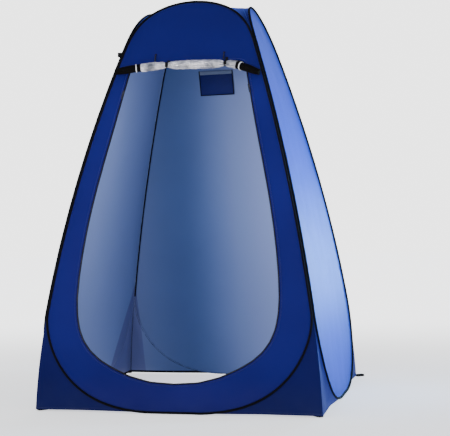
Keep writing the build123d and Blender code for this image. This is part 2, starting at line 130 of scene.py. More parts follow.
def rounded_loop(points, passes, count=120):
    """Closed line through the points, resampled and smoothed."""
    loop = resample([*points, points[0]], count)[:-1]
    for _ in range(passes):
        loop = 0.25 * np.roll(loop, 1, axis=0) + 0.5 * loop + 0.25 * np.roll(loop, -1, axis=0)
    return loop


def directions(path, closed):
    if closed:
        return unit(np.roll(path, -1, axis=0) - np.roll(path, 1, axis=0))
    return unit(np.gradient(path, axis=0))


def offset_half(line, distance, count, nearest):
    """Half outline moved towards its middle; points under nearest from x = 0 are dropped."""
    along = directions(line, closed=False)
    moved = line + distance * np.stack([-along[:, 1], along[:, 0]], axis=1)
    moved[0] = (0.0, line[0, 1] + distance)
    moved[-1] = (0.0, line[-1, 1] - distance)
    keep = np.ones(len(moved), bool)
    keep[1:-1] = moved[1:-1, 0] > nearest
    out = resample(moved[keep], count)
    out[0, 0] = out[-1, 0] = 0.0
    return out


def close_loop(half):
    return np.concatenate([half, half[-2:0:-1] * np.array([-1, 1])])


def hoop_half():
    """Finely spaced right half of the hoop, crowded where it curves hardest."""
    zs = [HOOP_LOW + (SEAM_LOW - HOOP_LOW) * (i / 500) ** 2.9 for i in range(500)]
    zs += [SEAM_LOW + (SEAM_HIGH - SEAM_LOW) * i / 400 for i in range(400)]
    zs += [HOOP_TOP - (HOOP_TOP - SEAM_HIGH) * (1 - i / 400) ** 1.5 for i in range(401)]
    return np.array([(hoop_x(z), z) for z in zs])


HOOP = resample(hoop_half(), 400)
HOOP[0, 0] = HOOP[-1, 0] = 0.0

# Right half of the doorway: x, z in millimetres
DOOR = np.array([
    (0, 130), (110, 137), (205, 161), (285, 196), (345, 230), (392, 270), (425, 315),
    (446, 365), (458, 425), (462.5, 500), (457.5, 600), (447.5, 700), (434, 800),
    (417.5, 900), (398, 1000), (376.5, 1100), (354.5, 1200), (332.5, 1300), (312, 1400),
    (293, 1490), (285.5, 1530), (278, 1560), (262, 1575), (230, 1578), (110, 1579),
    (0, 1579)]) / 1000.0
DOOR_FINE = rounded(DOOR, 300, 5)
DOOR_FINE[0, 0] = DOOR_FINE[-1, 0] = 0.0


def inside_hoop(distance, count):
    return offset_half(HOOP, distance, count, nearest=0.001)


def loop_round_door(distance, count):
    """Closed line at a distance outside the doorway's edge."""
    return close_loop(offset_half(DOOR_FINE, -distance, count, nearest=0.0005))


def turn(points, side):
    """Points or directions of the front wall, turned to another side."""
    cos, sin = [(1, 0), (0, 1), (-1, 0), (0, -1)][TURN[side]]
    points = np.asarray(points, float)
    turned = points.copy()
    turned[..., 0] = points[..., 0] * cos - points[..., 1] * sin
    turned[..., 1] = points[..., 0] * sin + points[..., 1] * cos
    return turned


def wall_normal(z):
    """Outward normal of the front wall at height z."""
    slope = LEAN + 2 * BOW * z
    return unit(np.stack([np.zeros_like(z), -np.ones_like(z), slope], axis=-1))


def on_front(x, z, out):
    """Point of the front wall, moved outwards by out."""
    z = np.asarray(z, float)
    return (np.stack([x, -half_width(z), z], axis=-1)
            + wall_normal(z) * np.asarray(out)[..., None])


def loop_on_front(loop, out):
    return on_front(loop[:, 0], loop[:, 1], out)


# fixed waves: direction x, direction z, phase, frequency
rng = random.Random(7)
WAVES = [(rng.uniform(-1, 1), rng.uniform(-1, 1), rng.uniform(0, 6.28), rng.uniform(0.6, 1.0))
         for _ in range(24)]
WAVES_SUMMED = 6


def lumps(x, z, size, seed):
    """Smooth repeatable noise in -1..1 with features of about size metres."""
    out = 0
    for i in range(WAVES_SUMMED):
        along_x, along_z, phase, frequency = WAVES[(seed * 5 + i * 3) % len(WAVES)]
        norm = math.hypot(along_x, along_z) + 1e-6
        k = 2 * math.pi / size * frequency * (0.7 + 0.12 * i)
        out = out + np.sin((along_x / norm * x + along_z / norm * z) * k
                           + phase + seed * 1.7 + i)
    return out / WAVES_SUMMED


# ---------------------------------------------------------------- materials
def linear(rgb):
    """sRGB 0..255 to linear RGBA."""
    out = []
    for channel in rgb:
        c = channel / 255.0
        out.append(c / 12.92 if c <= 0.04045 else ((c + 0.055) / 1.055) ** 2.4)
    return (*out, 1.0)


def feed(tree, node, inputs):
    """Sets a node's inputs: a socket is linked, anything else is a value."""
    for socket, value in inputs.items():
        if isinstance(value, bpy.types.NodeSocket):
            tree.links.new(value, node.inputs[socket])
        else:
            node.inputs[socket].default_value = value


def add_node(tree, kind, inputs=None, **settings):
    node = tree.nodes.new("ShaderNode" + kind)
    for key, value in settings.items():
        setattr(node, key, value)
    feed(tree, node, inputs or {})
    return node


def add_math(tree, operation, *values):
    node = add_node(tree, "Math", dict(enumerate(values)), operation=operation)
    return node.outputs["Value"]


def add_noise(tree, place, scale, detail):
    node = add_node(tree, "TexNoise", {"Scale": scale, "Detail": detail, "Vector": place})
    return node.outputs["Fac"]


def add_ramp(tree, share, low, high, positions=(0.0, 1.0)):
    node = add_node(tree, "ValToRGB", {"Fac": share})
    for element, position, colour in zip(node.color_ramp.elements, positions, (low, high)):
        element.position = position
        element.color = colour
    return node.outputs["Color"]


def add_mix(tree, share, colour, rgb):
    node = add_node(tree, "MixRGB", {"Color2": linear(rgb), "Fac": share, "Color1": colour})
    return node.outputs["Color"]


def add_bump(tree, height, strength, distance, **more):
    node = add_node(tree, "Bump", {"Strength": strength, "Distance": distance,
                                   "Height": height, **more})
    return node.outputs["Normal"]


def new_material(name):
    material = bpy.data.materials.new(name)
    material.use_nodes = True
    tree = material.node_tree
    return material, tree, tree.nodes["Principled BSDF"]


def weave_height(tree, place, pitch):
    """Two crossed sets of threads, as a height between 0 and 1."""
    mapped = add_node(tree, "Mapping", {"Vector": place}).outputs["Vector"]
    threads = [add_node(tree, "TexWave",
                        {"Scale": 1.0 / pitch / 6.28, "Distortion": 0.4, "Vector": mapped},
                        wave_type="BANDS", bands_direction=direction).outputs["Fac"]
               for direction in ("DIAGONAL", "Z")]
    return add_math(tree, "MULTIPLY", *threads)


def paint_light_across(tree, place, colour, axis, shift, reach, rgb):
    """Painted light: fades to rgb at reach from the line where axis + shift is zero, a
    gradient of light painted into the colour.
    """
    where = add_node(tree, "SeparateXYZ", {"Vector": place})
    shifted = add_math(tree, "ADD", where.outputs[axis], shift)
    away = add_math(tree, "ABSOLUTE", shifted)
    share = add_node(tree, "MapRange", {"From Max": reach, "Value": away},
                     interpolation_type="SMOOTHSTEP")
    return add_mix(tree, share.outputs["Result"], colour, rgb)


def painted_foot_shade(tree, place, colour, axis, per_side, per_height, shift, rgb):
    """Straight-edged painted shade in rgb at the foot of the corners."""
    where = add_node(tree, "SeparateXYZ", {"Vector": place})
    away = add_math(tree, "ABSOLUTE", where.outputs[axis])
    height = add_math(tree, "MULTIPLY_ADD", where.outputs["Z"], -per_height, shift)
    total = add_math(tree, "MULTIPLY_ADD", away, per_side, height)
    share = add_node(tree, "MapRange", {"From Min": -0.002, "From Max": 0.002, "Value": total})
    return add_mix(tree, share.outputs["Result"], colour, rgb)


def ground_dust(tree, place, colour, amount):
    """Patchy grey that fades out 0.16 m above the ground."""
    specks = add_noise(tree, place, scale=14.0, detail=8.0)
    where = add_node(tree, "SeparateXYZ", {"Vector": place})
    low = add_node(tree, "MapRange", {"From Min": 0.16, "From Max": 0.0, "To Max": amount,
                                      "Value": where.outputs["Z"]})
    share = add_math(tree, "MULTIPLY", low.outputs["Result"], specks)
    return add_mix(tree, share, colour, (120, 122, 128))


def fabric(name, light, dark, spec, crinkle, crinkle_size, rough=0.5, metal=0.0, pitch=0.0012,
           blotch=2.3, sheen=0.0, sheen_rough=0.4, tint=(1, 1, 1, 1), fade=None, patch=None,
           dust=0.0):
    """Woven cloth; blotch and crinkle_size are noise scales, pitch is the thread spacing. fade
    paints light and patch paints shade into the colour.
    """
    material, tree, shader = new_material(name)
    place = add_node(tree, "TexCoord").outputs["Object"]
    weave = weave_height(tree, place, pitch)
    colour = add_ramp(tree, add_noise(tree, place, scale=blotch, detail=5.0),
                      linear(dark), linear(light), positions=(0.3, 0.7))
    # painted light: the colour grows lighter with distance from a line
    if fade:
        colour = paint_light_across(tree, place, colour, **fade)
    # painted shade: a darker straight-edged area at the corner feet
    if patch:
        colour = painted_foot_shade(tree, place, colour, **patch)
    if dust:
        colour = ground_dust(tree, place, colour, dust)
    creases = add_bump(tree, add_noise(tree, place, scale=crinkle_size, detail=3.0),
                       strength=crinkle, distance=0.02)
    threads = add_bump(tree, weave, strength=0.18, distance=0.0004, Normal=creases)
    feed(tree, shader, {
        "Base Color": colour, "Normal": threads, "Roughness": rough, "Metallic": metal,
        "Specular IOR Level": spec, "Sheen Weight": sheen, "Sheen Roughness": sheen_rough,
        "Sheen Tint": tint})
    return material


def plain(name, rgb, rough, metal=0.0, spec=0.5, bump=0.0, scale=60.0):
    """Solid material, 15 % darker to 15 % lighter with noise of the given scale."""
    material, tree, shader = new_material(name)
    place = add_node(tree, "TexCoord").outputs["Object"]
    mottle = add_noise(tree, place, scale=scale, detail=6.0)
    base = linear(rgb)[:3]
    noise = 0.15
    colour = add_ramp(tree, mottle, (*[v * (1 - noise) for v in base], 1),
                      (*[min(1, v * (1 + noise)) for v in base], 1))
    feed(tree, shader, {"Base Color": colour, "Roughness": rough, "Metallic": metal,
                        "Specular IOR Level": spec})
    if bump:
        feed(tree, shader, {"Normal": add_bump(tree, mottle, bump, distance=0.0006)})
    return material


BLUE_SHEEN = dict(tint=(0.10, 0.20, 1.0, 1), sheen_rough=0.35, dust=0.06, spec=0.02)
# colour of the painted shade at the foot of the inner corners
PAINTED_SHADE_RGB = (84, 93, 142)

BLUE = fabric("blue_taffeta", (26, 27, 102), (22, 22, 90), sheen=1.0,
              crinkle=0.10, crinkle_size=7.0, **BLUE_SHEEN)
# the same taffeta painted darker and given less sheen: painted shade on the corner gussets and
# hems
BLUE_SHADED = fabric("blue_taffeta_painted_shade", (21, 24, 82), (17, 20, 72), sheen=0.18,
                  crinkle=0.12, crinkle_size=8.0, **BLUE_SHEEN)
# One coated lining in two painted tones of light: darker for the front and rear walls, roof
# and corners, lighter for the side walls.
LINING = fabric("coated_lining_inside", (63, 86, 137), (57, 79, 128),
                spec=0.2, crinkle=0.10, crinkle_size=8.0,
                fade=dict(axis="X", shift=0.265, reach=0.62, rgb=(122, 137, 184)),
                patch=dict(axis="X", per_side=1.0, per_height=0.0817, shift=-0.5525,
                           rgb=PAINTED_SHADE_RGB))
LINING_SIDE_LIT = fabric("coated_lining_sides_painted_light", (96, 117, 168), (90, 110, 160),
                     spec=0.2, crinkle=0.10, crinkle_size=8.0,
                     fade=dict(axis="Y", shift=-0.80, reach=1.10, rgb=(120, 137, 184)),
                     patch=dict(axis="Y", per_side=1.615, per_height=1.0, shift=-0.449,
                                rgb=PAINTED_SHADE_RGB))
# the wide spread between its light and dark tones is partly the foil's own uneven tone and
# partly painted highlights and shade on the crumples
SILVER = fabric("silver_crinkled", (234, 230, 234), (116, 117, 121), rough=0.30, spec=0.5,
                crinkle=1.0, crinkle_size=34.0, metal=0.45, blotch=24.0)
BLACK = fabric("black_binding_tape", (16, 16, 20), (9, 9, 13), rough=0.85, spec=0.08,
               crinkle=0.3, crinkle_size=60.0, pitch=0.0008)
ROLL_END = fabric("black_hem_cloth", (11, 9, 9), (5, 4, 4), rough=0.75, spec=0.06,
                  crinkle=0.5, crinkle_size=40.0)
WEBBING = fabric("black_webbing", (22, 22, 24), (12, 12, 14), rough=0.8, spec=0.15,
                 crinkle=0.2, crinkle_size=120.0, pitch=0.0016)
NAVY = fabric("navy_pocket", (18, 24, 84), (14, 19, 72), rough=0.55, spec=0.08,
              crinkle=0.3, crinkle_size=30.0)
MESH = fabric("pocket_mesh", (98, 110, 136), (84, 96, 122), rough=0.7, spec=0.1,
              crinkle=0.2, crinkle_size=40.0, pitch=0.003)
THREAD_DARK = plain("stitching_black", (34, 35, 42), rough=0.8, spec=0.2)
THREAD = plain("stitching_thread", (70, 76, 100), rough=0.8, spec=0.2)
COIL = plain("zip_coil_dark", (13, 14, 20), rough=0.4, bump=0.3, scale=400.0)
COIL_WHITE = plain("zip_coil_pale", (225, 225, 228), rough=0.4, bump=0.3, scale=300.0)
STEEL = plain("spring_steel", (170, 172, 176), rough=0.28, metal=1.0, scale=90.0, bump=0.1)
FERRULE = plain("crimped_steel", (138, 140, 145), rough=0.42, metal=1.0, scale=120.0, bump=0.3)
ENAMEL = plain("black_enamel", (28, 28, 30), rough=0.35, scale=200.0, bump=0.15)
PLASTIC = plain("black_plastic", (24, 24, 25), rough=0.45, spec=0.45, scale=160.0, bump=0.2)


# the side walls take the lighter copy of the lining, painted light
def lining_of(side):
    return LINING_SIDE_LIT if side in ("left", "right") else LINING


# ---------------------------------------------------------------- mesh helpers
CABIN_MIDDLE = (0, 0, 0.9)


def mesh_object(name, verts, faces, mats, face_mats=None, smooth=True):
    mesh = bpy.data.meshes.new(name)
    mesh.from_pydata([tuple(map(float, v)) for v in verts], [], faces)
    for material in mats:
        mesh.materials.append(material)
    if face_mats is not None:
        mesh.polygons.foreach_set("material_index", face_mats)
    mesh.polygons.foreach_set("use_smooth", [smooth] * len(mesh.polygons))
    mesh.validate()
    mesh.update()
    made = bpy.data.objects.new(name, mesh)
    bpy.context.scene.collection.objects.link(made)
    return made


def grid_faces(rows, cols, wrap_rows=False, wrap_cols=False, start=0):
    out = []
    for i in range(rows if wrap_rows else rows - 1):
        for j in range(cols if wrap_cols else cols - 1):
            this_row = start + i * cols
            next_row = start + ((i + 1) % rows) * cols
            k = (j + 1) % cols
            out.append((this_row + j, this_row + k, next_row + k, next_row + j))
    return out


def grid_object(name, grid, mats, face_mats=None, **wrap):
    """Mesh over a (rows, columns, 3) array of points."""
    faces = grid_faces(grid.shape[0], grid.shape[1], **wrap)
    return mesh_object(name, grid.reshape(-1, 3), faces, mats, face_mats)


def merge(made, dist=0.00002):
    """Joins coinciding vertices and drops the faces that this leaves without area."""
    bm = bmesh.new()
    bm.from_mesh(made.data)
    bmesh.ops.remove_doubles(bm, verts=bm.verts, dist=dist)
    empty = [f for f in bm.faces if f.calc_area() < 1e-12]
    if empty:
        bmesh.ops.delete(bm, geom=empty, context="FACES_ONLY")
    bm.to_mesh(made.data)
    bm.free()
    made.data.update()


def recalc(made):
    """Points the faces of a closed mesh outwards."""
    bm = bmesh.new()
    bm.from_mesh(made.data)
    bmesh.ops.recalc_face_normals(bm, faces=bm.faces)
    bm.to_mesh(made.data)
    bm.free()
    made.data.update()


def face_away(made, point):
    """Makes faces point away from the point, judged over the whole sheet."""
    mesh = made.data
    origin = Vector(point)
    if sum(p.area * p.normal.dot(p.center - origin) for p in mesh.polygons) < 0:
        mesh.flip_normals()
    mesh.update()


def thicken(made, thickness, inner=1):
    """Thickens a sheet behind its faces; the back's material is inner slots further on."""
    solid = made.modifiers.new("thickness", "SOLIDIFY")
    solid.thickness = thickness
    solid.offset = -1.0
    solid.material_offset = inner
    solid.use_even_offset = False
    bpy.context.view_layer.objects.active = made
    made.select_set(True)
    bpy.ops.object.modifier_apply(modifier=solid.name)
    made.select_set(False)


def attach(made, body, slot, *replaced):
    """Tells the frame which body moves a piece and hides the nodes it replaces; slot is not
    used.
    """
    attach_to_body(made, body)
    if replaced:
        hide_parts(*replaced)


def sweep_loop(name, path, normals, sections, mats):
    """Sweeps (across, normal) sections, one per point, round a loop; across = normal x run."""
    run = directions(path, closed=True)
    normals = unit(normals - run * np.sum(run * normals, axis=1)[:, None])
    across = np.cross(normals, run)
    grid = (path[:, None, :] + across[:, None, :] * sections[..., 0:1]
            + normals[:, None, :] * sections[..., 1:2])
    return grid_object(name, grid, mats, wrap_rows=True, wrap_cols=True)


def band(name, path, width_dir, width, thick, body, *replaced,
         mat=WEBBING, slot="black_webbing", closed=False):
    """A flat strap along a path; its width lies along width_dir."""
    path = np.asarray(path, float)
    width_dir = unit(np.asarray(width_dir, float))
    normals = unit(np.cross(directions(path, closed), width_dir))
    h, t = width / 2, thick / 2
    bevel = min(0.0006, t * 0.8)
    section = np.array([
        (-h, -t + bevel), (-h + bevel, -t), (0, -t * 1.05), (h - bevel, -t), (h, -t + bevel),
        (h, t - bevel), (h - bevel, t), (0, t * 1.05), (-h + bevel, t), (-h, t - bevel)])
    grid = (path[:, None, :] + width_dir * section[:, 0:1]
            + normals[:, None, :] * section[:, 1:2])
    rows, cols = grid.shape[:2]
    faces = grid_faces(rows, cols, wrap_rows=closed, wrap_cols=True)
    if not closed:
        faces.append(tuple(range(cols)))
        faces.append(tuple((rows - 1) * cols + i for i in range(cols)[::-1]))
    made = mesh_object(name, grid.reshape(-1, 3), faces, [mat])
    recalc(made)
    attach(made, body, slot, *replaced)


STITCH_LENGTH, STITCH_GAP, THREAD_RADIUS = 0.0042, 0.0024, 0.00035


def stitch(name, path, normals, body=None, mat=THREAD, closed=True):
    """A row of thread stitches along a line, each a low bar highest at its middle."""
    if closed:
        path = np.concatenate([path, path[:1]])
        normals = np.concatenate([normals, normals[:1]])
    lengths = arc_lengths(path)
    pitch = STITCH_LENGTH + STITCH_GAP
    verts, faces = [], []
    for i in range(int(lengths[-1] / pitch)):
        start = values_at(path, lengths, i * pitch)
        end = values_at(path, lengths, i * pitch + STITCH_LENGTH)
        run = unit(end - start)
        normal = values_at(normals, lengths, i * pitch)
        normal = unit(normal - run * normal.dot(run))
        aside = np.cross(run, normal) * THREAD_RADIUS
        crown = (start + end) / 2 + normal * THREAD_RADIUS * 1.6
        b = len(verts)
        for p in (start, crown, end):
            verts += [p - aside, p + aside]
        faces += [(b, b + 1, b + 3, b + 2), (b + 2, b + 3, b + 5, b + 4), (b, b + 2, b + 4),
                  (b + 1, b + 5, b + 3), (b, b + 4, b + 5, b + 1)]
    made = mesh_object(name, verts, faces, [mat], smooth=False)
    recalc(made)
    if body:
        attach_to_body(made, body)
    return made


# ---------------------------------------------------------------- walls
WALL_INSET = 0.0030     # edge of the cloth inside the hoop line
WALL_CLOTH = 0.0008
# how far each plain wall's cloth sinks inwards
WALL_SINK = {"right": 0.0042, "rear": 0.0008, "left": 0.0042}
PUCKER_PITCH = 0.036    # spacing of the puckers up the plain walls
DOOR_WALL_PUCKERS = 110  # puckers round the front wall


def wall_relief(x, z, edge, seed, sink=0.0):
    """How far the stretched cloth stands off its mean surface; zero at the sewn edge."""
    hold = 1 - np.exp(-np.maximum(edge, 0) / 0.03)
    soft = 0.0030 * lumps(x, z, 0.75, seed) + 0.0011 * lumps(x, z, 0.22, seed + 1)
    return hold * (soft - sink)


def finish_wall(side, grid, inner_point, **wrap):
    made = grid_object(f"{side}_wall_cloth", grid, [BLUE, lining_of(side)], **wrap)
    merge(made)
    face_away(made, inner_point)
    thicken(made, WALL_CLOTH)
    attach(made, f"{side}_panel", "blue_fabric", f"{side}_wall")


def front_wall():
    """Rings of cloth from the doorway's edge out to the hoop."""
    count, steps = 240, 22
    outer = close_loop(inside_hoop(WALL_INSET, count))
    inner = loop_round_door(0.0005, count)
    gap = np.linalg.norm(outer - inner, axis=1)
    around = np.arange(len(inner)) / len(inner)
    rings = []
    for f in np.linspace(0, 1, steps + 1):
        ring = inner * (1 - f) + outer * f
        x, z = ring[:, 0], ring[:, 1]
        edge = gap * (1 - f)
        pucker = (0.0006 * np.sin(around * 2 * np.pi * DOOR_WALL_PUCKERS
                                  + 2 * lumps(x, z, 0.2, 3))
                  * np.exp(-edge / 0.03) * (1 - np.exp(-edge / 0.006)))
        near_door = 0.35 + 0.65 * np.clip(gap * f / 0.1, 0, 1)
        rings.append(on_front(x, z, wall_relief(x, z, edge, 2) * near_door + pucker))
    finish_wall("front", np.array(rings), (0, 0.4, 0.9), wrap_cols=True)


def plain_wall(side):
    outline = inside_hoop(WALL_INSET, 150)
    across = np.linspace(-1, 1, 64 + 1)
    across = np.sign(across) * (1 - (1 - np.abs(across)) ** 1.25)
    rows = []
    for reach, height in outline:
        x = across * reach
        z = np.full_like(x, height)
        from_hoop = np.maximum(reach - np.abs(x), 0)
        edge = np.minimum(from_hoop, max(height - outline[0, 1], 0))
        edge = np.minimum(edge, max(outline[-1, 1] - height, 0))
        # slight puckers where the hoop pulls at the cloth
        pucker = (0.0007 * np.sin(z * 2 * np.pi / PUCKER_PITCH + 2.0 * lumps(x, z, 0.2, 3))
                  * np.exp(-from_hoop / 0.035) * (1 - np.exp(-edge / 0.008)))
        relief = wall_relief(x, z, edge, TURN[side] + 2, WALL_SINK[side])
        rows.append(on_front(x, z, relief + pucker))
    finish_wall(side, turn(np.array(rows), side), CABIN_MIDDLE)


front_wall()
for side in ("right", "rear", "left"):
    plain_wall(side)

# ---------------------------------------------------------------- binding round each hoop
BINDING_LOOP = close_loop(resample(HOOP, 300))
BINDING_OUT = 0.0011        # cover shifted from the hoop line towards the edge
BINDING_LOW = 0.0055        # lowest height of its centre line
BINDING_RADIUS = 0.0040     # half size of the cover in the plane of the wall
# offset along the wall normal, half size along it
BINDING_DEPTH = {"front": (0.0020, 0.0047), "rear": (0.0020, 0.0047),
                 "right": (0.0030, 0.0058), "left": (0.0030, 0.0058)}
# flat of the tape, towards the middle of the wall: across, normal
FLANGE = [(0.0046, -0.0015), (0.0058, -0.0010), (0.0062, 0.0), (0.0058, 0.0010),
          (0.0046, 0.0015)]


def binding_sections(side, count):
    proud, half_depth = BINDING_DEPTH[side]
    angle = np.radians(np.linspace(30, 330, 13))
    cover = np.stack([np.cos(angle) * BINDING_RADIUS, proud + np.sin(angle) * half_depth],
                     axis=1)
    section = np.concatenate([cover, FLANGE])
    sections = np.broadcast_to(section, (count, len(section), 2)).copy()
    i = np.arange(count)
    # the cover is gathered slightly on the wire
    gather = 0.00025 * np.sin(i * 0.9 + 1.3 * np.sin(i * 0.37)) + 0.0002 * np.sin(i * 0.31)
    for k in range(len(section)):
        lift = gather * np.sin(k * 1.3 + i * 0.05)
        sections[:, k, 0] += lift
        sections[:, k, 1] += lift * (0.6 if k >= len(cover) else 1.0)
    return sections


def line_cabin_side(made, side, path, outward, inward, cols):
    """Gives the cabin side of the cover the lining, except up the front and rear corners."""
    for poly in made.data.polygons:
        first, last = min(poly.vertices) // cols, max(poly.vertices) // cols
        # faces that close the loop span from the last section to the first
        i = first if last - first < 5 else 0
        lined = (poly.normal.dot(Vector(outward[i])) < -0.05
                 and poly.normal.dot(Vector(inward[i])) > -0.35)
        if 0.44 < path[i, 2] < 1.70 and side in ("rear", "front"):
            lined = False
        poly.material_index = 1 if lined else 0


def binding(side):
    normals = wall_normal(BINDING_LOOP[:, 1])
    path = loop_on_front(BINDING_LOOP, 0.0)
    inward = unit(np.cross(normals, directions(path, closed=True)))
    path = path - inward * BINDING_OUT
    path[:, 2] = np.maximum(path[:, 2], BINDING_LOW)
    sections = binding_sections(side, len(path))
    made = sweep_loop(f"{side}_hoop_binding", turn(path, side), turn(normals, side), sections,
                      [BLACK, lining_of(side)])
    recalc(made)
    line_cabin_side(made, side, path, turn(normals, side), turn(inward, side),
                    sections.shape[1])
    attach(made, f"{side}_panel", "black_binding", f"{side}_hoop_sleeve")
    # a row of stitching along the flat of the tape
    row = close_loop(inside_hoop(0.0040, 420))
    stitch(f"{side}_binding_stitch_out", turn(loop_on_front(row, 0.0012), side),
           turn(wall_normal(row[:, 1]), side), f"{side}_panel", mat=THREAD_DARK)


for side in TURN:
    binding(side)

# ---------------------------------------------------------------- corner cloth
# a wide gusset low down, a narrow joining strip above
HEM = 0.0065                # height of the lower edge
WEB_TOP = 1.722             # height where the strip ends and the roof begins
STRIP_FROM = 0.44           # the gusset has narrowed to the strip by here
CORNER_CLOTH = 0.0007
# Pairs of outer and inner material; the blue outer sides are the taffeta painted darker as
# shade. The pair at 6 keeps its slots but has no faces.
CORNER_MATS = [BLUE_SHADED, LINING, BLUE_SHADED, LINING_SIDE_LIT, BLACK, LINING, BLACK, BLACK,
               BLUE_SHADED, BLACK]
LINED, LINED_SIDE, STRIP, HEMMED = 0, 2, 4, 8


def crease_at(z):
    """Distance of a corner's crease from both middle planes."""
    low = np.clip((0.40 - z) / 0.40, 0, 1)
    high = np.clip((z - 1.65) / (WEB_TOP - 1.65), 0, 1)
    return half_width(z) - 0.0012 - 0.010 * low ** 2 - 0.0036 * high


def corner_rows():
    """Hoop points (x, z) where the rows of a corner begin."""
    low = resample(HOOP[(HOOP[:, 1] >= HEM + 0.011) & (HOOP[:, 1] <= 0.43)], 50)
    first = HOOP[HOOP[:, 1] >= HEM + 0.0005][:1]
    high = np.array([(hoop_x(z), z) for z in np.linspace(0.436, WEB_TOP, 100)])
    return np.concatenate([first, low, high])


CORNER_ROWS = corner_rows()


def facet(seed, lined):
    """One side of a corner, from the hoop (first column) to the crease (last)."""
    grid = []
    for hoop, z in CORNER_ROWS:
        crease = crease_at(z)
        wide = crease - hoop
        middle = crease - 0.5 * wide
        cols = [*np.linspace(hoop, middle, 8)[:-1], *np.linspace(middle, crease, 8)[:-3]]
        if wide > 0.03:
            cols += [crease - 0.0055, crease - 0.0024, crease]
        else:
            cols += [*np.linspace(cols[-1], crease, 4)[1:]]
        x = np.array(cols)
        f = (x - hoop) / wide
        # leaves the wire cover on its outer side and passes to the crease
        lift = (0.0030 if z > 0.40 else 0.0012) * (1 - f) ** 2
        y = -(half_width(z) * (1 - f) + crease * f) - lift
        # hangs slack between hoop and crease
        bell = np.sin(math.pi * f)
        sag = 0.010 * bell ** 2 * min(wide / 0.3, 1)
        fold = 0.0022 * lumps(x, z, 0.12, seed) * bell * min(wide / 0.1, 1)
        grid.append(np.stack([x, y + sag + fold, np.full_like(x, z)], axis=-1))
    bottom = grid[0].copy()
    bottom[:, 2] = HEM
    grid = np.array([bottom, *grid])

    face_z = (grid[:-1, 0, 2] + grid[1:, 0, 2]) / 2
    kinds = np.full((len(grid) - 1, grid.shape[1] - 1), lined)
    kinds[:, -2] = HEMMED
    kinds[face_z < HEM + 0.0095] = HEMMED
    kinds[face_z > STRIP_FROM] = STRIP
    kinds[face_z > STRIP_FROM, -3:] = lined
    return grid, kinds


def corner_piece(name, parts, bodies, toward, corner, replaced):
    """Corner cloth of one facet, or of two that meet at the crease.

    parts are (side, mirrored); toward, which points from the first body to the second, is not
    used.
    """
    facets = []
    for k, (side, mirrored) in enumerate(parts):
        grid, kinds = facet(3 + k, LINED if side in ("rear", "front") else LINED_SIDE)
        if mirrored:
            grid = grid * MIRROR
        facets.append((turn(grid, side), kinds))
    grid, kinds = facets[0]
    if len(facets) == 2:
        grid = np.concatenate([grid, facets[1][0][:, -2::-1]], axis=1)
        kinds = np.concatenate([kinds, facets[1][1][:, ::-1]], axis=1)
    cloth = grid_object(name, grid, CORNER_MATS, [int(k) for k in kinds.reshape(-1)])
    merge(cloth, 0.000005)
    face_away(cloth, CABIN_MIDDLE)
    thicken(cloth, CORNER_CLOTH)

    # a row of stitches along the hem
    line = grid[1].copy()
    line[:, 2] = HEM + 0.0085
    line = resample(line + np.array([*np.sign(corner) * 0.0003, 0]), 300)
    away = np.tile(unit(np.array([*corner, 0.0])), (len(line), 1))
    stitches = stitch(name + "_hem_stitch", line, away, closed=False)
    for made in (cloth, stitches):
        if len(bodies) == 2:
            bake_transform(made)
        else:
            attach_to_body(made, bodies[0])
    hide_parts(*replaced)


# name, facets, bodies, direction between the bodies, (x, y) of the corner, nodes replaced
CORNERS = (
    ("front_left", (("left", False), ("front", True)), ("left_panel", "front_panel"),
     (1, -1, 0), (-0.5, -0.5), ("front_gusset_left", "left_gusset_front")),
    ("rear_left", (("rear", False), ("left", True)), ("rear_panel", "left_panel"),
     (-1, -1, 0), (-0.5, 0.5), ("rear_gusset_left", "left_gusset_rear")),
    ("rear_right", (("rear", True), ("right", False)), ("rear_panel", "right_panel"),
     (1, -1, 0), (0.5, 0.5), ("rear_gusset_right", "right_gusset_rear")),
    # the front right corner is two separate facets, one on each panel
    ("front_right_a", (("front", False),), ("front_panel",), None, (0.5, -0.5),
     ("front_gusset_right",)),
    ("front_right_b", (("right", True),), ("right_panel",), None, (0.5, -0.5),
     ("right_gusset_front",)),
)
for name, *details in CORNERS:
    corner_piece("corner_cloth_" + name, *details)

# ---------------------------------------------------------------- roof gores
ROOF_MID = 1.886        # height of the roof's middle point
FAN_X = 0.048           # within this of its middle, a gore fans out to the middle point
CREASE_SAG = 0.007
GORE_CLOTH = 0.0007
FOLD_HEIGHT = 1.80      # height on the wall where a gore folds flat
# for each corner, the share of its chord on the gore clockwise of it, seen from above
CREASE = {"front_right": 0.84, "right_rear": 0.5, "rear_left": 0.5, "left_front": 0.5}
# corners anticlockwise and clockwise of each gore
AFTER = {"front": "front_right", "right": "right_rear", "rear": "rear_left",
         "left": "left_front"}
BEFORE = {"front": "left_front", "right": "front_right", "rear": "right_rear",
          "left": "rear_left"}


def crease_point(x, z, share, sag):
    """Point at a share of the way from the front hoop to the right-hand one."""
    reach = half_width(z)
    q = np.array([x, -reach, z]) * (1 - share) + np.array([reach, -x, z]) * share
    q[:2] -= unit(q[:2]) * sag
    q[2] -= sag * 0.5
    return q


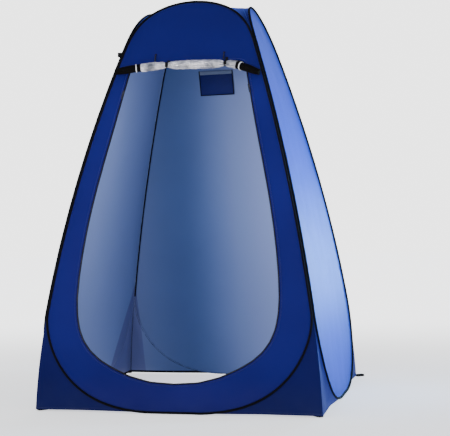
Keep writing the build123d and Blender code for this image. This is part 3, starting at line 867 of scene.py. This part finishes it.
def half_gore(share):
    """Right half of the front gore, with its crease at a share of the corner."""
    arc = resample(HOOP[HOOP[:, 1] >= WEB_TOP], 64)
    fan = [i for i, p in enumerate(arc) if p[0] >= FAN_X][-1]
    t = np.linspace(0, 1, 16 + 1)
    bell = np.sin(math.pi * t)
    rows = []
    for i, (x, z) in enumerate(arc):
        open_up = min(i / 12.0, 1.0)
        if i <= fan:
            inner = crease_point(x, z, share, CREASE_SAG * open_up)
        else:
            s = 1 - x / arc[fan][0]
            inner = (crease_point(*arc[fan], share, CREASE_SAG) * (1 - s)
                     + np.array([0, 0, ROOF_MID]) * s)
        outer = np.array([x, -half_width(z) + 0.0008, z + 0.0010])
        span = np.linalg.norm(inner - outer)
        row = outer * (1 - t)[:, None] + inner * t[:, None]
        # slack and small waves between the hoop and the crease
        row[:, 2] -= 0.035 * span * bell
        row[:, :2] *= (1 - 0.012 * bell * open_up * min(span / 0.1, 1))[:, None]
        row[:, 2] += (0.0016 * lumps(row[:, 0] * 1.3, row[:, 1], 0.14, 4)
                      * bell * min(span / 0.06, 1))
        rows.append(row)
    return np.array(rows)


def gore(side):
    right_half = half_gore(CREASE[AFTER[side]])
    left_half = half_gore(1 - CREASE[BEFORE[side]]) * MIRROR
    grid = turn(np.concatenate([right_half, left_half[-2::-1]], axis=0), side)
    made = grid_object(f"{side}_roof_cloth", grid, [BLUE, LINING])
    merge(made, 0.00001)
    face_away(made, CABIN_MIDDLE)
    thicken(made, GORE_CLOTH)
    attach(made, f"{side}_panel", "blue_fabric", f"{side}_roof_gore")
    anchor = turn(np.array([0.0, -half_width(FOLD_HEIGHT), FOLD_HEIGHT]), side)
    axis = turn(wall_normal(FOLD_HEIGHT), side)
    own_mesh(made)


for side in TURN:
    gore(side)

# ---------------------------------------------------------------- doorway edge and zip
# name, edges (distances outside the doorway), lift off the wall, thickness, material,
# slot, nodes replaced
DOOR_STRIPS = (
    ("door_zip_tape_cloth", -0.0022, 0.0046, 0.0022, 0.0010, BLACK, "black_binding",
     "door_zip_tape"),
    ("door_zip_tape_inside", -0.0022, 0.0085, -0.0012, 0.0008, BLACK, "black_binding"),
    ("door_hem_cloth", 0.0044, 0.0135, 0.0016, 0.0010, BLUE, "blue_fabric"),
)
TOOTH_PITCH = 0.0026
TOOTH_HALF_LENGTH, TOOTH_HALF_WIDTH = 0.0008, 0.0021   # along and across the zip
TOOTH_LAYERS = ((0.0022, 1.0), (0.0035, 0.75))         # height off the wall, size share


def door_strip(name, near, far, lift, thick, mat, slot, *replaced):
    """Flat ring round the doorway, slightly domed."""
    inner, outer = loop_round_door(near, 320), loop_round_door(far, 320)
    rings = [loop_on_front(inner * (1 - f) + outer * f,
                           lift + thick * math.sin(math.pi * f) * 0.35)
             for f in np.linspace(0, 1, 5)]
    made = grid_object(name, np.array(rings), [mat], wrap_cols=True)
    face_away(made, (0, 0.4, 0.9))
    thicken(made, thick, inner=0)
    attach(made, "front_panel", slot, *replaced)


def coil_teeth():
    """Small tapered blocks along the zip."""
    line = loop_round_door(0.0006, 600)
    path = np.concatenate([line, line[:1]])
    lengths = arc_lengths(path)
    verts, faces = [], []
    for i in range(int(lengths[-1] / TOOTH_PITCH)):
        centre = values_at(path, lengths, i * TOOTH_PITCH)
        run = unit(values_at(path, lengths, i * TOOTH_PITCH + 0.001) - centre)
        aside = np.array([run[1], -run[0]])
        b = len(verts)
        for height, k in TOOTH_LAYERS:
            for u, w in ((-1, -1), (1, -1), (1, 1), (-1, 1)):
                corner = (centre + run * u * TOOTH_HALF_LENGTH * k
                          + aside * w * TOOTH_HALF_WIDTH * k)
                verts.append(on_front(corner[0], corner[1], height))
        faces += [(b + 4, b + 5, b + 6, b + 7), (b, b + 1, b + 5, b + 4),
                  (b + 1, b + 2, b + 6, b + 5), (b + 2, b + 3, b + 7, b + 6),
                  (b + 3, b, b + 4, b + 7), (b + 3, b + 2, b + 1, b)]
    made = mesh_object("door_zip_coil_teeth", verts, faces, [COIL], smooth=False)
    recalc(made)
    attach(made, "front_panel", "zip_coil", "door_zip_coil")


for strip in DOOR_STRIPS:
    door_strip(*strip)
hem_line = loop_round_door(0.0118, 420)
stitch("door_tape_stitch", loop_on_front(hem_line, 0.0021), wall_normal(hem_line[:, 1]),
       "front_panel")
coil_teeth()

# ---------------------------------------------------------------- rolled-up door
# Centre line of the roll: x, z in millimetres
ROLL = np.array([
    (-344, 1556), (-300, 1561), (-240, 1567.5), (-150, 1572), (-92, 1573.5), (35, 1569),
    (117, 1567), (176, 1565.2), (203, 1564.2), (245, 1555), (298, 1536),
    (353, 1511)]) / 1000.0
ROLL_GAP = 0.027                # centre line in front of the wall
ROLL_ENDS = (-0.343, 0.352)
SILVER_X = (-0.216, 0.243)      # the silver middle; the ends beyond it are black
TIES = (-0.092, 0.189)          # x of the two ties
WRAP_EDGE = math.radians(118)   # where the free edge of the outer wrap lies
SPIRAL_STEPS = 12               # two rings to each turn of the spiral on the ends


def roll_centre(x):
    z = sum(np.interp(x + shift, ROLL[:, 0], ROLL[:, 1])
            for shift in (-0.016, -0.008, 0, 0.008, 0.016)) / 5
    return np.stack([x, -half_width(z) - ROLL_GAP, z], axis=-1)


def in_silver(x):
    return (x > SILVER_X[0]) & (x < SILVER_X[1])


def roll_radius(x):
    """Fullest between the ties, drawn in hard under them, tapered at the black ends."""
    r = np.where(in_silver(x), 0.0208, 0.0198)
    r = r + 0.0008 * np.cos((x - 0.048) / 0.09)
    for tie in TIES:
        r = r - 0.0048 * np.exp(-((x - tie) / 0.013) ** 2)
        r = r - 0.0052 * np.exp(-((x - tie) / 0.040) ** 2)
    far = np.clip((np.abs(x - 0.005) - 0.280) / 0.068, 0, 1)
    return r - 0.0048 * far ** 1.6


def roll_crumple(x, phi):
    """Pleats that fade away from each tie, and crinkles over the silver middle."""
    crumple = 0
    for k, tie in enumerate(TIES):
        near = np.exp(-np.abs(x - tie) / 0.038)
        crumple = (crumple + near * 0.0015 * np.sin(8 * phi + 2.1 * k + 30 * (x - tie))
                   + near * 0.0007 * np.sin(17 * phi - 1.1 * k + 60 * (x - tie)))
    crinkle = (0.0012 * np.sin(5 * phi + 26 * x) * np.sin(17 * x + 1.0)
               + 0.0008 * np.sin(9 * phi - 70 * x + 2 * np.sin(21 * x)) * np.sin(41 * x + phi)
               + 0.0005 * np.sin(4 * phi + 190 * x) * np.sin(2 * phi + 60 * x))
    return crumple + in_silver(x) * crinkle


def roll_surface(x, phi, extra=0.0):
    """Points round the roll; phi 0 is up, 90 degrees is away from the wall."""
    run = unit(roll_centre(x + 0.004) - roll_centre(x - 0.004))
    outward = unit(np.array([0, -1.0, 0.0]) + run * run[..., 1:2])
    up = np.cross(outward, run)
    # the free edge of the outer wrap makes a low step along the roll
    wrap = np.mod(phi - WRAP_EDGE, 2 * math.pi) / (2 * math.pi)
    r = roll_radius(x) + roll_crumple(x, phi) - 0.0022 * wrap + extra
    around = up * np.cos(phi)[..., None] + outward * np.sin(phi)[..., None]
    return roll_centre(x) + around * r[..., None]


def add_spiral_end(verts, faces, ring, first, x, sign):
    """Closes an end with a spiral of wound layers; sign is the end's direction in x."""
    cols = len(ring)
    centre = ring.mean(axis=0)
    run = unit(roll_centre(x + 0.002 * sign) - roll_centre(x - 0.002 * sign))
    previous = [first + j for j in range(cols)]
    for k in range(1, SPIRAL_STEPS + 1):
        f = 1 - k / (SPIRAL_STEPS + 0.5)
        current = []
        for j in range(cols):
            wave = math.sin((k / 2.0 + j / cols) * 2 * math.pi)
            depth = 0.0016 * wave + 0.0004 - 0.0015 * (k > 1)
            current.append(len(verts))
            verts.append(centre + (ring[j] - centre) * f + run * depth)
        for j in range(cols):
            n = (j + 1) % cols
            quad = (previous[j], previous[n], current[n], current[j])
            faces.append(quad[::sign])
        previous = current
    faces.append(tuple(previous)[::sign])


def roll_part(name, x0, x1, mat, count, end, slot, *replaced):
    """A length of the roll; end is -1 or 1 for a spiral at that end, 0 for none."""
    phi = WRAP_EDGE + np.linspace(0.0001, 2 * np.pi - 0.0001, 64)
    xs = np.linspace(x0, x1, count)
    grid = roll_surface(*np.meshgrid(xs, phi, indexing="ij"))
    rows, cols = grid.shape[:2]
    verts = list(grid.reshape(-1, 3))
    faces = grid_faces(rows, cols, wrap_cols=True)
    if end:
        i = rows - 1 if end > 0 else 0
        add_spiral_end(verts, faces, grid[i], i * cols, xs[i], end)
    made = mesh_object(name, verts, faces, [mat])
    recalc(made)
    attach(made, "front_panel", slot, *replaced)


def roll_coil_bands():
    """Pale zip coil round the roll near each end of the silver."""
    count = 72
    phi = np.linspace(0, 2 * np.pi, count, endpoint=False)
    tooth = 0.0004 * (np.arange(count) % 2)
    # offset along the roll, height above its surface
    profile = ((-0.0025, -0.0004), (-0.0021, 0.0008), (0.0, 0.0012), (0.0021, 0.0008),
               (0.0025, -0.0004))
    verts, faces = [], []
    for x0, lean in ((-0.241, 0.008), (0.266, -0.012)):
        faces += grid_faces(len(profile), count, wrap_cols=True, start=len(verts))
        for along, height in profile:
            x = x0 + along + lean * np.sin(phi) * 0.5
            verts += list(roll_surface(x, phi, height + tooth))
    made = mesh_object("door_roll_zip_coil", verts, faces, [COIL_WHITE])
    recalc(made)
    attach(made, "front_panel", "zip_coil_white", "door_roll_coil_bands")


roll_part("door_roll_cloth", *SILVER_X, SILVER, 330, 0, "silver_lining", "door_roll")
roll_part("door_roll_end_right", SILVER_X[1], ROLL_ENDS[1], ROLL_END, 60, 1,
          "black_binding", "door_roll_ends")
roll_part("door_roll_end_left", ROLL_ENDS[0], SILVER_X[0], ROLL_END, 70, -1, "black_binding")
roll_coil_bands()

# ---------------------------------------------------------------- ties round the roll
TIE_WIDTH = 0.0135


def tie(label, x):
    """Loop round the roll, a knot bar over it and a short tail up the wall behind."""
    centre = roll_centre(x)
    r = float(roll_radius(x)) + 0.0012
    angle = np.radians(np.linspace(-50, 310, 60))
    ring = np.stack([x + 0.0015 * np.sin(angle), centre[1] - np.sin(angle) * r,
                     centre[2] + np.cos(angle) * r], axis=1)
    band(f"tie_{label}_loop", ring[:-1], (1, 0, 0), TIE_WIDTH, 0.0013, "front_panel",
         f"tie_strap_{label}", closed=True)
    knot = [centre + np.array([u * 0.006, -0.0035, r + 0.0014 - 0.0012 * u * u])
            for u in np.linspace(-1, 1, 9)]
    band(f"tie_{label}_knot", knot, (0, 1, 0.1), 0.009, 0.0024, "front_panel")
    tail = rounded([ring[0] + np.array([0, -0.0005, 0.0003]),
                    ring[0] + np.array([0, 0.005, 0.004]),
                    on_front(x, 1.5935, 0.0022), on_front(x, 1.6005, 0.0022)], 40, 8)
    band(f"tie_{label}_tail", tail, (1, 0, 0), TIE_WIDTH, 0.0012, "front_panel")


for label, x in zip(("left", "right"), TIES):
    tie(label, x)

# ---------------------------------------------------------------- stake and guy loops
STAKE_AT = 0.646        # x and y of the corners that the stake loops start from
STAKE_WIDTH = 0.020
# loop profiles: distance out along the diagonal, height
REAR_STAKE = [(0.0055, 0.0028), (0.030, 0.0026), (0.050, 0.0026), (0.0525, 0.0046),
              (0.0495, 0.0100), (0.046, 0.0104), (0.028, 0.0104), (0.010, 0.0104),
              (0.0055, 0.0080)]
FRONT_STAKE = [(-0.004, 0.0075), (-0.009, 0.0040), (-0.028, 0.0038), (-0.049, 0.0038),
               (-0.0515, 0.0023), (-0.049, 0.0009), (-0.028, 0.0009), (-0.008, 0.0009),
               (-0.0035, 0.0055)]
GUY_HEIGHT = 1.648
# front half of the guy loop: distance out from the left wall, distance towards the rear
GUY_HALF = [(0.0006, -0.0010), (0.004, -0.0014), (0.009, -0.0052), (0.0135, -0.0068),
            (0.018, -0.0066), (0.0212, -0.003)]


def stake_loop(label, sign_x, sign_y, profile, passes, thick):
    out = np.array([sign_x, sign_y, 0.0]) / math.sqrt(2)
    start = np.array([sign_x * STAKE_AT, sign_y * STAKE_AT, 0.0])
    path = [start + out * a + np.array([0, 0, b]) for a, b in rounded_loop(profile, passes)]
    band(f"stake_loop_{label}_webbing", path, (out[1], -out[0], 0.0), STAKE_WIDTH, thick,
         f"stake_loop_{label}_body", f"stake_loop_{label}", closed=True)


def guy_loop():
    """Teardrop loop high on the left wall, beside the front corner."""
    reach = half_width(GUY_HEIGHT)
    start = np.array([-reach - 0.0052, -reach + 0.012, GUY_HEIGHT])
    outline = GUY_HALF + [(a, -b) for a, b in reversed(GUY_HALF)]
    path = [start + np.array([-a, -b, 0]) for a, b in rounded_loop(outline, 3)]
    band("guy_loop_webbing", path, (0, 0, 1), 0.021, 0.0024, "guy_loop_body", "guy_loop",
         closed=True)


for end, sign_y, profile, passes, thick in (("rear", 1, REAR_STAKE, 8, 0.0046),
                                            ("front", -1, FRONT_STAKE, 3, 0.0015)):
    for hand, sign_x in (("left", -1), ("right", 1)):
        stake_loop(f"{end}_{hand}", sign_x, sign_y, profile, passes, thick)
guy_loop()

# ---------------------------------------------------------------- pocket inside the rear wall
POCKET_LEFT, POCKET_RIGHT = -0.125, 0.061
POCKET_LOW, POCKET_TOP = 1.535, 1.662
POCKET_MARGIN = 0.003           # cloth inside the outline at each side
POCKET_CLOTH = 0.0008
POCKET_TAPE = 0.0052            # width of its binding
TAPE_MIDDLE = 0.0025            # middle of the binding from the outline


def rear_inside(x, z, inward):
    """Point on the rear wall, moved into the cabin."""
    outward = wall_normal(z) * np.array([1, -1, 1])
    point = np.stack([x, half_width(z), z], axis=-1)
    return point - outward * np.asarray(inward)[..., None]


def cloth_bulge(u, v):
    return (0.0045 + 0.0075 * v * np.sin(np.pi * u) ** 0.7
            + 0.003 * np.sin(np.pi * v) * np.sin(np.pi * u)
            + 0.0009 * lumps(u * 0.2, v * 0.15, 0.06, 2))


def mouth_bulge(u, v):
    return (0.0045 + (0.0075 - 0.002 * v) * np.sin(np.pi * u) ** 0.7
            + 0.0006 * lumps(u * 0.2, v * 0.1, 0.05, 1))


def pocket_sheet(name, rows, z_low, z_high, bulge, mat, slot, replaced):
    u, v = np.meshgrid(np.linspace(0, 1, 30), np.linspace(0, 1, rows), indexing="ij")
    x = POCKET_LEFT + POCKET_MARGIN + (POCKET_RIGHT - POCKET_LEFT - 2 * POCKET_MARGIN) * u
    z = z_low + (z_high - z_low) * v
    made = grid_object(name, rear_inside(x, z, bulge(u, v)), [mat])
    # the point lies behind the rear wall, so the faces look into the cabin
    face_away(made, (0, 3.0, 1.6))
    thicken(made, POCKET_CLOTH, inner=0)
    attach(made, "rear_panel", slot, replaced)


def pocket_tape(name, start, end, width_dir, *replaced):
    (x0, z0), (x1, z1) = start, end
    t = np.linspace(0, 1, 40)
    path = rear_inside(x0 + (x1 - x0) * t, z0 + (z1 - z0) * t, 0.0056)
    band(f"pocket_binding_{name}", path, width_dir, POCKET_TAPE, 0.0020, "rear_panel",
         *replaced, mat=BLACK, slot="black_binding")


pocket_sheet("pocket_cloth", 22, POCKET_LOW + 0.004, POCKET_TOP - 0.019, cloth_bulge, NAVY,
             "navy_fabric", "storage_pocket")
pocket_sheet("pocket_mouth_mesh", 8, POCKET_TOP - 0.0195, POCKET_TOP - 0.0015, mouth_bulge,
             MESH, "mesh_strip", "pocket_mouth_strip")
for name, x, *replaced in (("left", POCKET_LEFT + TAPE_MIDDLE, "pocket_binding"),
                           ("right", POCKET_RIGHT - TAPE_MIDDLE)):
    pocket_tape(name, (x, POCKET_LOW + 0.002), (x, POCKET_TOP), (1, 0, 0), *replaced)
pocket_tape("foot", (POCKET_LEFT, POCKET_LOW + TAPE_MIDDLE),
            (POCKET_RIGHT, POCKET_LOW + TAPE_MIDDLE), (0, 0.3, 1))


# ---------------------------------------------------------------- CAD pieces that stay
def material_for(name):
    if name.endswith("_hoop_wire"):
        return STEEL
    if name.endswith("_hoop_ferrule"):
        return FERRULE
    if name.startswith("zip_"):
        return ENAMEL
    if name == "toggle_tabs":
        return WEBBING
    if name.startswith("toggle_"):
        return PLASTIC
    return None


for name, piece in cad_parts.items():
    material = material_for(name)
    if piece.hide_render or not material:
        continue
    piece.data.materials.clear()
    piece.data.materials.append(material)


# ---------------------------------------------------------------- stage
def stage_floor():
    """Pale floor that runs out to plain white with distance, for the camera only."""
    material, tree, shader = new_material("stage_pale")
    place = add_node(tree, "TexCoord").outputs["Object"]
    away = add_node(tree, "VectorMath", {0: place}, operation="LENGTH")
    fade = add_node(tree, "MapRange", {"From Min": 1.2, "From Max": 5.5, "To Min": 0.5,
                                       "To Max": 2.0, "Value": away.outputs["Value"]},
                    interpolation_type="SMOOTHSTEP")
    ray = add_node(tree, "LightPath")
    seen = add_math(tree, "MULTIPLY", fade.outputs["Result"], ray.outputs["Is Camera Ray"])
    glow = add_math(tree, "ADD", seen, 0.45)
    feed(tree, shader, {
        "Roughness": 0.95, "Specular IOR Level": 0.05, "Base Color": linear((232, 233, 235)),
        "Emission Color": (1, 1, 1, 1), "Emission Strength": glow})
    half = 60
    floor = mesh_object("stage_floor", [(-half, -half, 0), (half, -half, 0), (half, half, 0),
                                        (-half, half, 0)],
                        [(0, 1, 2, 3)], [material], smooth=False)
    floor.location.z = -0.0005


def studio_world():
    """Soft white light, a bluer world in reflections and white behind the tent."""
    world = bpy.data.worlds.new("studio")
    bpy.context.scene.world = world
    world.use_nodes = True
    tree = world.node_tree
    ambient = tree.nodes["Background"]
    feed(tree, ambient, {"Color": (0.95, 0.97, 1, 1), "Strength": 0.95})
    seen = add_node(tree, "Background", {"Color": (1, 1, 1, 1), "Strength": 3.2})
    ray = add_node(tree, "LightPath")
    shine = add_node(tree, "Background", {"Color": (0.55, 0.66, 1, 1), "Strength": 0.7})
    glossy = add_node(tree, "MixShader", {
        "Fac": ray.outputs["Is Glossy Ray"], 1: ambient.outputs["Background"],
        2: shine.outputs["Background"]})
    pick = add_node(tree, "MixShader", {
        "Fac": ray.outputs["Is Camera Ray"], 1: glossy.outputs["Shader"],
        2: seen.outputs["Background"]})
    feed(tree, tree.nodes["World Output"], {"Surface": pick.outputs["Shader"]})


def area(name, at, target, size, power, color=(1, 1, 1), spread=180):
    """Rectangular light at a place, aimed at the target; spread in degrees."""
    light = bpy.data.lights.new(name, "AREA")
    light.shape = "RECTANGLE"
    light.size, light.size_y = size
    light.energy = power
    light.color = color
    light.spread = math.radians(spread)
    lamp = bpy.data.objects.new(name, light)
    bpy.context.scene.collection.objects.link(lamp)
    lamp.location = at
    lamp.rotation_euler = (Vector(target) - Vector(at)).to_track_quat("-Z", "Y").to_euler()
    return lamp


def add_camera():
    camera = bpy.data.cameras.new("camera")
    holder = bpy.data.objects.new("camera", camera)
    bpy.context.scene.collection.objects.link(holder)
    right = Vector((0.97169829, 0.23563886, -0.01663608))
    up = Vector((0.02237518, -0.02170239, 0.99951406))
    forward = Vector((-0.23516331, 0.97159834, 0.02636064))
    place = Vector((1.24711649, -4.80520329, 0.73357525))
    rotation = Matrix((right, up, -forward)).transposed()
    holder.matrix_world = Matrix.Translation(place) @ rotation.to_4x4()
    camera.lens = 79.49
    camera.sensor_width = 36.0
    camera.clip_start, camera.clip_end = 0.05, 200
    bpy.context.scene.camera = holder


stage_floor()
studio_world()
area("key_right", at=(3.1, 0.5, 0.92), target=(0.6, 0, 0.84), size=(0.7, 1.05), power=36,
     color=(0.32, 0.64, 1.0), spread=41)
area("sheen_behind_right", at=(1.75, 3.4, 0.92), target=(0.64, 0.0, 0.82), size=(0.7, 0.95),
     power=12, color=(0.25, 0.54, 1.0), spread=34)
area("fill_front", at=(-1.8, -4.6, 2.6), target=CABIN_MIDDLE, size=(3.0, 2.0), power=30)
area("front_mid", at=(-1.3, -4.8, 1.2), target=(0, -0.6, 0.95), size=(1.0, 0.5), power=3.5,
     spread=28)
area("through_back", at=(-0.6, 4.0, 2.6), target=(0, 0, 1.0), size=(3.0, 2.0), power=60)
inside_light = area("inside_fill", at=(0.0, -0.50, 0.95), target=(-0.05, 0.66, 0.85),
                    size=(0.55, 1.0), power=5.2)
inside_light.visible_camera = False
add_camera()
